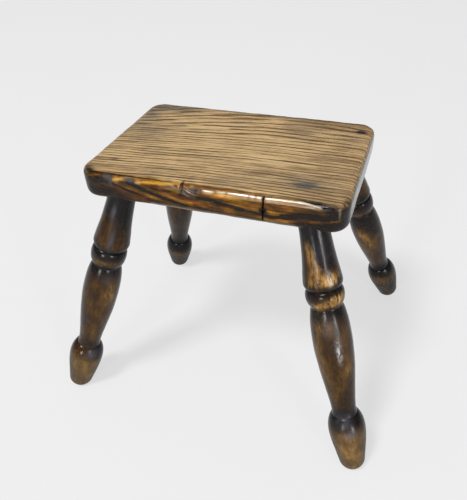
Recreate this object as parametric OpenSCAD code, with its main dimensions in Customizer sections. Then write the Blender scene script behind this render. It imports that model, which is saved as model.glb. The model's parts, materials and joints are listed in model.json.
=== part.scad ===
// Small four-legged fireside stool.
// A single plank seat stands on four turned legs. Each leg is one piece of
// wood, and its plain round top is glued into a blind hole bored in the plank.
// The origin is on the floor under the middle of the stool. +X runs along the
// grain of the seat, +Y runs to the back and +Z runs up. Sizes are in
// millimetres and angles in degrees.

/* [Seat] */
// Length of the plank along the grain
seat_w = 300; // [260:1:360]
// Depth of the plank across the grain
seat_d = 198; // [170:1:240]
// Thickness of the plank
seat_t = 32.5; // [30:0.5:40]
// Height of the plank's top above the floor
seat_h = 316; // [300:1:340]
// Radius of the plank's upright corners
corner_r = 20; // [14:1:30]
// Radius worn on the plank's top and bottom edges
arris_r = 6.5; // [3:0.5:9]

/* [Leg places] */
// From the end of the plank to a leg's axis, at the underside
end_inset = 40.5; // [34:0.5:60]
// From the long edge of the plank to a leg's axis, at the underside
side_inset = 16; // [15:0.5:30]
// Spread of the feet along the seat, from axis to axis on the floor
foot_span_w = 392; // [340:1:420]
// Spread of the feet across the seat, from axis to axis on the floor
foot_span_d = 310; // [270:1:340]

/* [Flare and bead] */
// Diameter of the plain top that enters the seat
top_d = 32; // [28:0.5:34]
// Greatest diameter of the flare
flare_d = 42.6; // [39:0.2:46]
// Length of the flare, from the underside to the upper groove
flare_len = 71.5; // [60:0.5:80]
// Length rounded over at the flare's lower edge
flare_lip = 9; // [5:0.5:11]
// Diameter at the bottom of the upper groove
upper_groove_d = 36.8; // [33:0.2:37.6]
// Greatest diameter of the bead
bead_d = 42.4; // [40:0.2:47]
// Length from the upper groove to the lower groove
bead_len = 25.5; // [20:0.5:30]
// Diameter at the bottom of the lower groove
lower_groove_d = 34.8; // [31:0.2:37]

/* [Vase and foot] */
// Greatest diameter of the vase
vase_d = 44.2; // [40:0.2:48]
// Length of the vase, from the lower groove to the crease over the foot
vase_len = 131.5; // [120:0.5:145]
// From the lower groove down to the widest part of the vase
belly_drop = 38; // [30:1:50]
// Diameter of the neck
neck_d = 28.2; // [25:0.2:32]
// From the narrowest part of the neck down to the crease
neck_drop = 5; // [3:0.5:10]
// Greatest diameter of the foot
foot_d = 43.4; // [40:0.2:47]
// From the crease down to the widest part of the foot
foot_drop = 21.5; // [18:0.5:28]
// Diameter of the foot where the wear at the floor begins
toe_d = 30; // [26:0.2:33]
// Length worn round at the end of the foot
toe_wear = 7; // [5:0.5:12]

/* [Glued joint] */
// Length of leg inside the seat, along its axis
tenon_len = 20; // [14:0.5:21]
// Chamfer that leads the leg into its hole
tenon_chamfer = 1.5; // [0.5:0.25:3]
// Glue line round the leg in its hole
glue_gap = 0.15; // [0.05:0.05:0.3]
// Glue left over the end of the leg
end_gap = 0.3; // [0.1:0.1:1]

/* [Hidden] */

seat_colour = "#8a6a40";
leg_colour = "#4b3221";
around = 96;
underside = seat_h - seat_t;
top_r = top_d / 2;
toe_r = toe_d / 2;

// Outward directions of each leg, along and across the seat
front_left = [-1, -1];
front_right = [1, -1];
back_left = [-1, 1];
back_right = [1, 1];

// The holes were bored by eye, so each leg strays outwards from the pattern:
// along and across at the underside, then along and across on the floor.
front_left_stray = [-3, 0, 0, -7];
front_right_stray = [4.5, 1, -4.5, 5.5];
back_left_stray = [0, -4, -24, -16];
back_right_stray = [0, 1, -0.5, 7];

// The legs were turned by eye too: how far a leg's bead lies below the
// pattern's, and the share by which the leg is slimmer.
front_left_turning = [0, 0];
front_right_turning = [0, 0];
back_left_turning = [0, 0.01];
back_right_turning = [13, 0.04];

function head_point(way, stray) = [
    way.x * (seat_w / 2 - end_inset + stray[0]),
    way.y * (seat_d / 2 - side_inset + stray[1]),
    underside
];

function floor_point(way, stray) = [
    way.x * (foot_span_w / 2 + stray[2]),
    way.y * (foot_span_d / 2 + stray[3]),
    0
];

// Points of a cubic curve from a to d, steered by b and c
function curve(a, b, c, d, steps) = [
    for (i = [0 : steps])
        let (t = i / steps, u = 1 - t)
            u * u * u * a + 3 * t * u * u * b + 3 * t * t * u * c + t * t * t * d
];

// Each stretch of the turning is drawn as [radius, distance below the underside].
crease_z = flare_len + bead_len + vase_len;
neck = [neck_d / 2, crease_z - neck_drop];
foot = [foot_d / 2, crease_z + foot_drop];
function upper_groove(low) = [upper_groove_d / 2, flare_len + low];
function lower_groove(low) = [lower_groove_d / 2, flare_len + bead_len + low];

// A cylinder grows to a trumpet with a rounded lower edge
function flare_line(start, low) =
    let (
        groove = upper_groove(low),
        wide = [flare_d / 2 - 0.1, groove.y - flare_lip],
        rise = wide.y - start
    )
    concat(
        curve(
            [top_r, start],
            [top_r + 0.5, start + 0.35 * rise],
            [wide.x - 1.8, wide.y - 0.3 * rise],
            wide,
            12
        ),
        curve(
            wide,
            wide + [0.5, 0.45 * flare_lip],
            [flare_d / 2 - 0.8, groove.y - 0.2 * flare_lip],
            groove,
            6
        )
    );

// The bead swells between the grooves and rolls under at its lower side
function bead_line(low) =
    let (
        groove = upper_groove(low),
        low_edge = lower_groove(low) + [0.6, -2.5],
        swell = (bead_d / 2 - (groove.x + low_edge.x) / 8) / 0.75
    )
    curve(
        groove + [0, 0.4],
        [swell, groove.y + 2.6],
        [swell, low_edge.y - 4.5],
        low_edge,
        12
    );

// The vase shoulders out of the lower groove and thins to the neck
function vase_line(low) =
    let (
        groove = lower_groove(low),
        belly = [vase_d / 2, groove.y + belly_drop],
        taper = neck.y - belly.y
    )
    concat(
        curve(
            groove,
            groove + [2, 0.12 * belly_drop],
            [belly.x, belly.y - 0.55 * belly_drop],
            belly,
            9
        ),
        curve(
            belly,
            [belly.x, belly.y + 0.41 * taper],
            [neck.x + 0.2, neck.y - 0.24 * taper],
            neck,
            14
        )
    );

// The foot steps out of the neck in a ball and tapers to the worn toe
function foot_line(length) =
    let (
        step = [neck.x + 0.7, crease_z],
        toe = [toe_r, length - toe_wear]
    )
    concat(
        curve(
            step,
            step + [3, 0.08 * foot_drop],
            [foot.x, foot.y - 0.5 * foot_drop],
            foot,
            9
        ),
        curve(
            foot,
            [foot.x, foot.y + 0.27 * (toe.y - foot.y)],
            [toe.x + 2.7, toe.y - 0.37 * (toe.y - foot.y)],
            toe,
            8
        ),
        curve(
            toe,
            [toe.x - 1.2, length - 0.45 * toe_wear],
            [toe.x - 4.7, length + 0.17 * toe_wear],
            [0.3 * toe.x, length + 0.5 * toe_wear],
            8
        ),
        [[0, length + 0.55 * toe_wear]]
    );

// The whole turning, from the end in the seat to past the floor
function leg_line(length, start, low) = concat(
    [
        [0, -tenon_len],
        [top_r - tenon_chamfer, -tenon_len],
        [top_r, tenon_chamfer - tenon_len]
    ],
    flare_line(start, low),
    bead_line(low),
    vase_line(low),
    foot_line(length)
);

// A slimmer leg thins along its flare, so its top still fills the hole
function slimmed(line, start, slim) = [
    for (p = line)
        let (along = max(0, min(1, (p.y - start) / (flare_len - start))))
            [p.x * (1 - slim * along), p.y]
];

// Puts its children on a leg's axis, with +Z running down the leg
module on_leg_axis(way, stray) {
    head = head_point(way, stray);
    run = floor_point(way, stray) - head;
    translate(head)
        rotate([0, acos(run.z / norm(run)), atan2(run.y, run.x)])
            children();
}

module turned_leg(way, stray, turning) {
    run = floor_point(way, stray) - head_point(way, stray);
    length = norm(run);
    // The flare starts where the slanting leg has wholly left the seat
    start = top_r * norm([run.x, run.y]) / abs(run.z);
    line = leg_line(length, start, turning[0]);
    color(leg_colour)
        difference() {
            // The turning's seam faces sideways, clear of the level cut
            on_leg_axis(way, stray)
                rotate(90)
                    rotate_extrude($fn = around)
                        polygon(slimmed(line, start, turning[1]));
            // Cut level with the floor
            translate([-foot_span_w, -foot_span_d, -seat_t])
                cube([2 * foot_span_w, 2 * foot_span_d, seat_t]);
        }
}

// Blind hole for a leg's top, open below the underside
module leg_hole(way, stray) {
    depth = tenon_len + end_gap;
    on_leg_axis(way, stray)
        translate([0, 0, -depth])
            cylinder(h = depth + seat_t, r = top_r + glue_gap, $fn = around);
}

// Rectangle with round corners, standing on the X axis, for the plank's edges
module edge_section(width) {
    inner = width / 2 - arris_r;
    translate([-width / 2, arris_r])
        square([width, seat_t - 2 * arris_r]);
    translate([-inner, 0])
        square([2 * inner, seat_t]);
    for (x = [-inner, inner], y = [arris_r, seat_t - arris_r])
        translate([x, y])
            circle(r = arris_r, $fn = around);
}

// One quarter of a round plank end, with both its arrises worn
module plank_corner() {
    rotate_extrude(angle = 90, $fn = around)
        intersection() {
            edge_section(2 * corner_r);
            square([corner_r, seat_t]);
        }
}

module plank() {
    half_w = seat_w / 2 - corner_r;
    half_d = seat_d / 2 - corner_r;
    translate([-half_w, 0, 0])
        rotate([90, 0, 90])
            linear_extrude(2 * half_w)
                edge_section(seat_d);
    translate([0, half_d, 0])
        rotate([90, 0, 0])
            linear_extrude(2 * half_d)
                edge_section(seat_w);
    for (quarter = [0 : 3]) {
        out_x = quarter == 0 || quarter == 3 ? 1 : -1;
        out_y = quarter < 2 ? 1 : -1;
        translate([out_x * half_w, out_y * half_d, 0])
            rotate(90 * quarter)
                plank_corner();
    }
}

module seat() {
    color(seat_colour)
        difference() {
            translate([0, 0, underside])
                plank();
            leg_hole(front_left, front_left_stray);
            leg_hole(front_right, front_right_stray);
            leg_hole(back_left, back_left_stray);
            leg_hole(back_right, back_right_stray);
        }
}

module front_left_leg() {
    turned_leg(front_left, front_left_stray, front_left_turning);
}

module front_right_leg() {
    turned_leg(front_right, front_right_stray, front_right_turning);
}

module back_left_leg() {
    turned_leg(back_left, back_left_stray, back_left_turning);
}

module back_right_leg() {
    turned_leg(back_right, back_right_stray, back_right_turning);
}

seat();
front_left_leg();
front_right_leg();
back_left_leg();
back_right_leg();
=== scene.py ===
# The finish of a small four-legged fireside stool: its worn plank seat, its turned and polished
# legs, the floor under it, the light and the camera. Lengths in the makers' functions are in
# millimetres, and MM turns them into Blender's metres.

import json
import math
from types import SimpleNamespace

import bmesh
import bpy
import numpy as np
from mathutils import Matrix, Vector


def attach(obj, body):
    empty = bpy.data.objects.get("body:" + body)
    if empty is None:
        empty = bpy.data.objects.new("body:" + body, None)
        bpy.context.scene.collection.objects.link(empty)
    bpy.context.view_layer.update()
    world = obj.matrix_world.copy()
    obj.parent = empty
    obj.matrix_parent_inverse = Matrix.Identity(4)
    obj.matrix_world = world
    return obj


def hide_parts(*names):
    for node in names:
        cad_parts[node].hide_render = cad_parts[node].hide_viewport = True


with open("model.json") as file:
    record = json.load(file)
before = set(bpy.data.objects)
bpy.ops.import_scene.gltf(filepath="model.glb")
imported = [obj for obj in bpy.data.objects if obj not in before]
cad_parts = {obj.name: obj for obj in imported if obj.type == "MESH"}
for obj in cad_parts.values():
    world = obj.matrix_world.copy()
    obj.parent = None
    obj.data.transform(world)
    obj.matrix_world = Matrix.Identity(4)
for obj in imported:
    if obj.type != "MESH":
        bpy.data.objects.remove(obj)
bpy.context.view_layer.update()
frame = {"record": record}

MM = 0.001

# The plank
SEAT_LENGTH = 300
SEAT_DEPTH = 198
SEAT_THICKNESS = 32.5
SEAT_HEIGHT = 316
UNDERSIDE = SEAT_HEIGHT - SEAT_THICKNESS
TOP = SEAT_HEIGHT
FRONT = -SEAT_DEPTH / 2
CORNER_RADIUS = 20
ARRIS_RADIUS = 6.5
SEAT_VOXEL = 1.5
DISH_DEPTH = 0.9
# Edges that turn by more than this, in degrees, stay crisp
SEAT_CRISP_ANGLE = 40
LEG_CRISP_ANGLE = 35

# From the plank's end and its long edge to a leg's axis, at the underside
END_INSET = 40.5
SIDE_INSET = 16
# Outward directions of each leg, along and across the seat
LEG_WAYS = {
    "front_left": (-1, -1),
    "front_right": (1, -1),
    "back_left": (-1, 1),
    "back_right": (1, 1),
}
# The holes were bored by eye: how far each leg strays outwards from its place at the underside
HEAD_STRAYS = {
    "front_left": (-3, 0),
    "front_right": (4.5, 1),
    "back_left": (0, -4),
    "back_right": (0, 1),
}

# The turning, as radii and as lengths down the axis from the underside. The neck lies over the
# crease and the widest part of the foot below it, and the belly lies below the bead
TOP_RADIUS = 16
FLARE_RADIUS = 21.3
FLARE_LENGTH = 71.5
FLARE_LIP = 9
UPPER_GROOVE_RADIUS = 18.4
BEAD_RADIUS = 21.2
BEAD_LENGTH = 25.5
BEAD_END = FLARE_LENGTH + BEAD_LENGTH
LOWER_GROOVE_RADIUS = 17.4
BELLY_RADIUS = 22.1
BELLY_DROP = 38
VASE_LENGTH = 131.5
CREASE = BEAD_END + VASE_LENGTH
NECK_RADIUS = 14.1
NECK_DROP = 5
FOOT_RADIUS = 21.7
FOOT_DROP = 21.5
TOE_RADIUS = 15
TOE_WEAR = 7
TENON_LENGTH = 20
TENON_CHAMFER = 1.5
GLUE_GAP = 0.15
END_GAP = 0.3
TURNING_STEPS = 128

# The legs were turned by eye too, and a leg may differ from the pattern: a bead that lies lower or
# is shorter, a crease and ball that lie lower, or a leg that is slimmer by a share
TURNED_BY_EYE = {
    "front_left": {},
    "front_right": {"bead_lower": -2, "bead_shorter": 4},
    "back_left": {"slimmer": 0.01},
    "back_right": {"bead_lower": 13, "foot_lower": 5, "slimmer": 0.04},
}

# The camera, found from the photograph, in millimetres and degrees. The shift that frames the
# stool is a share of the picture's width
CAMERA_PLACE = (200.2, -517.5, 591.7)
CAMERA_TURN = 20.05
CAMERA_TILT = 37.73
CAMERA_ROLL = 2.56
FOCAL_LENGTH = 37.8
FRAMING_SHIFT = -0.0292
NEAREST_SEEN = 20

# Soft lamps, each as its bearing and height in degrees seen from the stool, with the front at 0
# and the right positive, its width and tallness in metres and its power in watts
LAMPS = {
    "high_lamp": (-30, 62, 1.6, 1.6, 350),
    "left_lamp": (-10, 12, 1.5, 2.2, 250),
    "right_lamp": (48, 7.4, 1.2, 2.4, 275),
}
# How far off the lamps hang, in metres, and how strong the even light of the room is
LAMP_DISTANCE = 8
ROOM_LIGHT = 0.32

# The floor's size in metres, its white, and the share of its look that takes no shadow
FLOOR_SIZE = 30
FLOOR_WHITE = (0.875, 0.875, 0.88)
EVEN_SHARE = 0.7


# Modelling helpers

def deselect_all():
    bpy.ops.object.select_all(action="DESELECT")


def take_up(piece):
    """Makes piece the only selected object and the active one."""
    deselect_all()
    piece.select_set(True)
    bpy.context.view_layer.objects.active = piece


def named_primitive(name):
    """Names the primitive that was just added."""
    piece = bpy.context.active_object
    piece.name = name
    piece.data.name = name
    return piece


def block(name, centre, size):
    """A cube made to size, in millimetres, with its place in its mesh."""
    deselect_all()
    bpy.ops.mesh.primitive_cube_add(size=1, location=Vector(centre) * MM)
    piece = named_primitive(name)
    piece.scale = Vector(size) * MM
    bpy.ops.object.transform_apply(location=True, rotation=True, scale=True)
    return piece


def pick_edges(piece, wanted):
    """Selects the edges whose two ends both pass wanted. The piece is in edit mode."""
    bpy.ops.mesh.select_mode(type="EDGE")
    bpy.ops.mesh.select_all(action="DESELECT")
    shape = bmesh.from_edit_mesh(piece.data)
    for edge in shape.edges:
        edge.select_set(wanted(edge.verts[0].co / MM, edge.verts[1].co / MM))
    bmesh.update_edit_mesh(piece.data)


def points_of(piece):
    """The piece's vertices as rows of millimetres."""
    flat = np.zeros(len(piece.data.vertices) * 3)
    piece.data.vertices.foreach_get("co", flat)
    return flat.reshape(-1, 3) / MM


def mark(piece, name, values):
    """Keeps one number for each vertex, for the finish to read."""
    attribute = piece.data.attributes.new(name, "FLOAT", "POINT")
    attribute.data.foreach_set("value", np.asarray(values, dtype=np.float32))


def weigh(piece, name, weights):
    """Makes a vertex group from one weight for each vertex."""
    group = piece.vertex_groups.new(name=name)
    for index, weight in enumerate(weights):
        if weight > 0.01:
            group.add([index], float(weight), "REPLACE")


def smooth_step(low, high, values):
    """Rises softly from 0 at low to 1 at high."""
    share = np.clip((values - low) / (high - low), 0, 1)
    return share * share * (3 - 2 * share)


def apply_modifier(piece, kind, **settings):
    """Gives the piece a modifier with these settings and applies it."""
    take_up(piece)
    modifier = piece.modifiers.new(kind.lower(), kind)
    for setting, value in settings.items():
        setattr(modifier, setting, value)
    bpy.ops.object.modifier_apply(modifier=modifier.name)


def roughen(piece, name, size, depth, middle=0.5, group=""):
    """Moves the surface by depth in all, in soft lumps of about size, both in millimetres."""
    lumps = bpy.data.textures.new(name, "CLOUDS")
    lumps.noise_scale = size * MM
    lumps.noise_depth = 2
    apply_modifier(
        piece,
        "DISPLACE",
        vertex_group=group,
        texture=lumps,
        texture_coords="LOCAL",
        mid_level=middle,
        strength=depth * MM,
    )


def cut_away(piece, cutter):
    """Cuts the cutter's shape out of the piece and removes the cutter."""
    apply_modifier(piece, "BOOLEAN", operation="DIFFERENCE", object=cutter, solver="EXACT")
    bpy.data.objects.remove(cutter)


def leg_axis(leg):
    """The leg's head at the underside and its run down to the floor, in millimetres."""
    along, across = LEG_WAYS[leg]
    stray_along, stray_across = HEAD_STRAYS[leg]
    head = Vector((
        along * (SEAT_LENGTH / 2 - END_INSET + stray_along),
        across * (SEAT_DEPTH / 2 - SIDE_INSET + stray_across),
        UNDERSIDE,
    ))
    foot = next(m for m in frame["record"]["mounts"] if m["name"] == leg + "_foot")
    return head, Vector(foot["pos_m"]) / MM - head


def set_on_axis(piece, leg):
    """Moves a piece, made with its head at the origin and -Z along it, onto the leg's axis."""
    head, run = leg_axis(leg)
    take_up(piece)
    piece.location = head * MM
    piece.rotation_mode = "QUATERNION"
    piece.rotation_quaternion = Vector((0, 0, -1)).rotation_difference(run)
    bpy.ops.object.transform_apply(location=True, rotation=True, scale=True)


# The seat

def plank_blank():
    """The plank with its corners and arrises rounded, as it left the bench."""
    seat = block(
        "seat_plank",
        (0, 0, (UNDERSIDE + TOP) / 2),
        (SEAT_LENGTH, SEAT_DEPTH, SEAT_THICKNESS),
    )
    bpy.ops.object.mode_set(mode="EDIT")
    pick_edges(seat, lambda a, b: abs(a.z - b.z) > 1)
    bpy.ops.mesh.bevel(offset=CORNER_RADIUS * MM, segments=12, affect="EDGES")
    pick_edges(seat, lambda a, b: abs(a.z - b.z) < 0.1)
    bpy.ops.mesh.bevel(offset=ARRIS_RADIUS * MM, segments=7, affect="EDGES")
    bpy.ops.object.mode_set(mode="OBJECT")
    apply_modifier(seat, "REMESH", mode="VOXEL", voxel_size=SEAT_VOXEL * MM)
    apply_modifier(seat, "SMOOTH", factor=0.5, iterations=4)
    return seat


def inset_of(points):
    """How far each point lies inside the plank's outline, seen from above."""
    across = np.abs(points[:, :2]) - (np.array([SEAT_LENGTH, SEAT_DEPTH]) / 2 - CORNER_RADIUS)
    outside = np.linalg.norm(np.maximum(across, 0), axis=1)
    return CORNER_RADIUS - outside - np.minimum(across.max(axis=1), 0)


def wear_plank(seat):
    """Hollows the top a little and rubs the arrises unevenly."""
    points = points_of(seat)
    inset = inset_of(points)
    high = smooth_step(TOP - 3, TOP - 0.5, points[:, 2])
    weigh(seat, "dish", high * smooth_step(4, 70, inset))
    apply_modifier(
        seat,
        "DISPLACE",
        vertex_group="dish",
        direction="Z",
        mid_level=0,
        strength=-DISH_DEPTH * MM,
    )
    to_arris = np.hypot(inset, np.minimum(TOP - points[:, 2], points[:, 2] - UNDERSIDE))
    weigh(seat, "arris", 1 - smooth_step(2, 11, to_arris))
    roughen(seat, "long_wear", size=40, depth=1.5, middle=0.62, group="arris")
    roughen(seat, "short_wear", size=8, depth=0.5, middle=0.62, group="arris")
    roughen(seat, "plank_ripple", size=22, depth=0.35)


def tear_fibres(seat):
    """Roughens the torn patch beside the nick."""
    points = points_of(seat)
    weigh(seat, "torn", np.minimum(spots(points, TORN_PATCH), 1))
    roughen(seat, "torn_fibres", size=3.5, depth=1.6, middle=0.65, group="torn")


def bore_leg_holes(seat):
    """Bores the four blind holes, each on its leg's own slant."""
    depth = TENON_LENGTH + END_GAP
    length = depth + SEAT_THICKNESS
    for leg in LEG_WAYS:
        deselect_all()
        bpy.ops.mesh.primitive_cylinder_add(
            vertices=TURNING_STEPS,
            radius=(TOP_RADIUS + GLUE_GAP) * MM,
            depth=length * MM,
            location=(0, 0, (depth - length / 2) * MM),
        )
        bore = named_primitive("bore")
        bpy.ops.object.transform_apply(location=True, rotation=True, scale=True)
        set_on_axis(bore, leg)
        cut_away(seat, bore)


# The split, the splinter hole across it and the nick. Each is made by a cutter that stands partly
# outside the plank, and turns are in degrees
SPLIT_X = 65
SPLIT_SIZE = (1.9, 9, 27)
SPLIT_WANDER = 0.5
SPLIT_LEAN = 0.03
KNOT_Z = 300.5
SPLINTER_RADIUS = 4.3
SPLINTER_TIP = 0.4
SPLINTER_LENGTH = 3.4
SPLINTER_NARROWING = 0.9
NICK_X = -24
NICK_SIZE = (2.1, 5, 7)
NICK_TURN = (-45, 8, 5)


def cut_split(seat):
    """The dark split across the front edge, which wanders and leans a little."""
    split = block("split", (SPLIT_X, FRONT, TOP - 14), SPLIT_SIZE)
    bpy.ops.object.mode_set(mode="EDIT")
    bpy.ops.mesh.subdivide(number_cuts=7)
    bpy.ops.object.mode_set(mode="OBJECT")
    for vertex in split.data.vertices:
        height = vertex.co.z / MM
        aside = SPLIT_WANDER * math.sin(height * 0.9) + SPLIT_LEAN * (height - KNOT_Z)
        vertex.co.x += aside * MM
    cut_away(seat, split)


def cut_splinter_hole(seat):
    """The four-sided hole where a splinter left the split."""
    deselect_all()
    bpy.ops.mesh.primitive_cone_add(
        vertices=4,
        radius1=SPLINTER_RADIUS * MM,
        radius2=SPLINTER_TIP * MM,
        depth=SPLINTER_LENGTH * MM,
        location=(SPLIT_X * MM, (FRONT + 0.9) * MM, KNOT_Z * MM),
        rotation=(math.radians(-90), 0, 0),
    )
    splinter_hole = named_primitive("splinter_hole")
    splinter_hole.scale.x = SPLINTER_NARROWING
    bpy.ops.object.transform_apply(location=True, rotation=True, scale=True)
    cut_away(seat, splinter_hole)


def cut_nick(seat):
    """The nick struck into the top front arris."""
    nick = block("nick", (NICK_X, FRONT + 1.4, TOP - 2.2), NICK_SIZE)
    bpy.ops.object.origin_set(type="ORIGIN_GEOMETRY")
    nick.rotation_euler = [math.radians(degrees) for degrees in NICK_TURN]
    cut_away(seat, nick)


def spots(points, places):
    """Soft-edged marks added up. A place is (x, y, z), its reach along each axis, its strength."""
    total = np.zeros(len(points))
    for centre, reach, strength in places:
        away = (points - np.array(centre)) / np.array(reach)
        total += strength * np.exp(-((away**2).sum(axis=1)))
    return total


def ribbons(points, lines):
    """Soft-edged lines on the front edge. A line is its half width, strength and points (x, z)."""
    flat = points[:, [0, 2]]
    nearest = np.zeros(len(points))
    for half_width, strength, path in lines:
        for start, end in zip(np.array(path, dtype=float), np.array(path[1:], dtype=float)):
            along = np.clip((flat - start) @ (end - start) / ((end - start) ** 2).sum(), 0, 1)
            away = np.linalg.norm(flat - start - along[:, None] * (end - start), axis=1)
            nearest = np.maximum(nearest, strength * (1 - smooth_step(0, 2 * half_width, away)))
    return nearest * (1 - smooth_step(FRONT + 12, FRONT + 22, points[:, 1]))


# Marks on the seat, each as its centre, its reach along x, y and z, and its strength
TORN_PATCH = [
    ((-16, FRONT, 308.8), (10, 8, 4.8), 1.0),
    ((-36, FRONT, 312), (9, 8, 2.6), 0.6),
    ((-7, FRONT, 312), (7, 6, 2.4), 0.7),
    ((38, FRONT, 311), (12, 8, 2), 0.35),
]
SEAT_STAINS = [
    ((99, -65, TOP), (11, 5, 6), 1.0),
    ((102, -60, TOP), (34, 16, 6), 0.55),
    ((45, -37, TOP), (12, 5, 6), 0.35),
    ((33, -71, TOP), (9, 4, 6), 0.35),
    ((-113, 13, TOP), (24, 24, 6), 0.35),
    ((-105, 82, TOP), (32, 13, 6), 0.65),
    ((-138, 60, TOP), (14, 42, 8), 0.60),
    ((129, 50, TOP), (12, 6, 6), 0.45),
    ((75, 50, TOP), (9, 4, 6), 0.30),
    ((105, 57, TOP), (14, 4, 6), 0.30),
    ((-101, -35, TOP), (8, 3, 6), 0.30),
    ((-82, 39, TOP), (7, 3, 6), 0.30),
    ((-48, -22, TOP), (6, 3, 6), 0.25),
    ((-111, FRONT, 312.4), (5.2, 8, 2.8), 1.05),
    ((-108.5, FRONT, 308), (2.6, 8, 4), 0.95),
    ((-87, FRONT, 313), (5.5, 8, 1.8), 1.15),
    ((-81, FRONT, 311.4), (3.5, 8, 1.5), 0.9),
    ((-38, FRONT, 311), (9, 6, 2.4), 0.35),
]
# Sooty marks, and painted shade inside the nick
SEAT_SOOT_AND_SHADE = [
    ((135.4, 70.6, TOP), (5.5, 4.5, 5), 1.5),
    ((-148, -80, 308), (3, 14, 5), 0.6),
    ((-121, -64, TOP), (5, 2, 4), 0.8),
    ((-134, -93, 315.5), (4.5, 4, 3), 1.0),
    ((-141, -90, 303), (5, 9, 30), 0.8),
    ((-132, -96, 300), (6, 9, 3.5), 0.8),
    ((SPLIT_X, FRONT, KNOT_Z), (4.2, 8, 3.4), 2.4),
    ((SPLIT_X, FRONT, 303), (1.4, 6, 16), 0.8),
    ((133, -97, 312), (6, 7, 2.6), 1.3),
    ((133, -95, 305), (7, 9, 3.5), 0.6),
    ((146, -88, 300), (3.6, 11, 22), 1.1),
    ((118, FRONT, 287), (18, 8, 4), 0.7),
    ((-108, FRONT, 286), (24, 8, 4), 0.6),
    # Painted shade inside the nick
    ((NICK_X + 0.3, FRONT + 2, 313), (1.5, 6, 5), 3.0),
    ((-110, FRONT, 307), (2.6, 8, 4.5), 0.6),
    ((-80, FRONT, 310.5), (5, 8, 1.6), 0.6),
    ((-7, FRONT + 1, 312), (4, 4, 2), 0.8),
    ((3, FRONT + 3, 315.5), (4.5, 2.5, 1.5), 0.5),
    ((8, FRONT, 303), (10, 8, 2), 0.6),
]
SEAT_RUBBED = [
    ((141.5, -90, 308), (0.8, 6, 6), 0.8),
    ((NICK_X - 2.4, FRONT + 1.5, 313.5), (1.2, 4, 2.4), 2.0),
    ((NICK_X + 12, FRONT + 3, 315.2), (2.5, 3, 1.0), 1.2),
    ((-101, FRONT, 311), (2.5, 8, 3), 0.5),
    ((-74, FRONT, 311.8), (3, 8, 1.8), 0.5),
]
EDGE_GLOW = [
    ((-118, -97, 315), (12, 6, 1.8), 0.50),
    ((-88, -97, 315), (14, 6, 1.8), 0.50),
    ((-101, FRONT, 311.5), (5, 8, 3.5), 0.55),
    ((-72, FRONT, 312), (7, 8, 2.4), 0.50),
    ((-50, FRONT + 3, 315.2), (26, 6, 1.6), 0.60),
    ((-127, FRONT, 308), (5, 8, 5), 0.25),
    ((-45, FRONT, 302.5), (14, 8, 2.0), 0.15),
    ((24, FRONT, 309.5), (16, 8, 2.5), 0.40),
    ((50, FRONT, 306), (12, 8, 3), 0.20),
    ((85, FRONT, 308), (24, 8, 4), 0.15),
    ((126, -97, 311), (3, 9, 4), 0.50),
]
# Where the top arris has its cream line, rubbed wear with a painted highlight over it, as (x, z),
# and where that line is broken, as (x, reach, strength)
ARRIS_HIGHLIGHT_LINE = [
    (-2, 313), (8, 312.9), (24, 313.4), (43, 313.7), (64, 313.5), (82, 314.3), (105, 314.5),
    (114, 313.9), (123, 313),
]
ARRIS_HIGHLIGHT_BREAKS = [
    (-3, 4, 1.2), (14, 3, 0.9), (26, 1.6, 0.9), (50, 1.6, 0.7), (57, 1.6, 0.7), (SPLIT_X, 2, 1.5),
    (121, 6, 0.5),
]
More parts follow.
